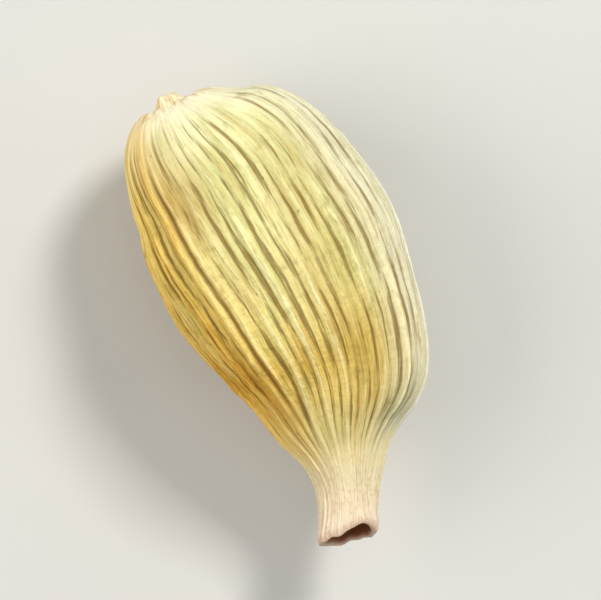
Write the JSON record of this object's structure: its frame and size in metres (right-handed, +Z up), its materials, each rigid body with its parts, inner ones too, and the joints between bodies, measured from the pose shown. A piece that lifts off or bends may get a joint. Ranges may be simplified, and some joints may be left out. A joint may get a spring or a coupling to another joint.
{
  "type": "green cardamom pod",
  "caption": "Whole dried green cardamom pod, a plump three-sided ribbed capsule with a stalk scar at its blunt end and a short hollow beak at the other.",
  "frame": {"origin": "on the surface that the pod lies on, below the middle of its bounding box", "axes": "+X along the pod from the stalk scar to the beak, +Z up out of the broad face that shows in the picture, +Y across the pod, away from the side that the beak bends to"},
  "size_m": [0.0166, 0.0084, 0.0082],
  "materials": {
    "husk": "dry, matt, finely ribbed plant husk"
  },
  "bodies": {
    "root": {"cardamom_pod": "husk"}
  },
  "joints": []
}
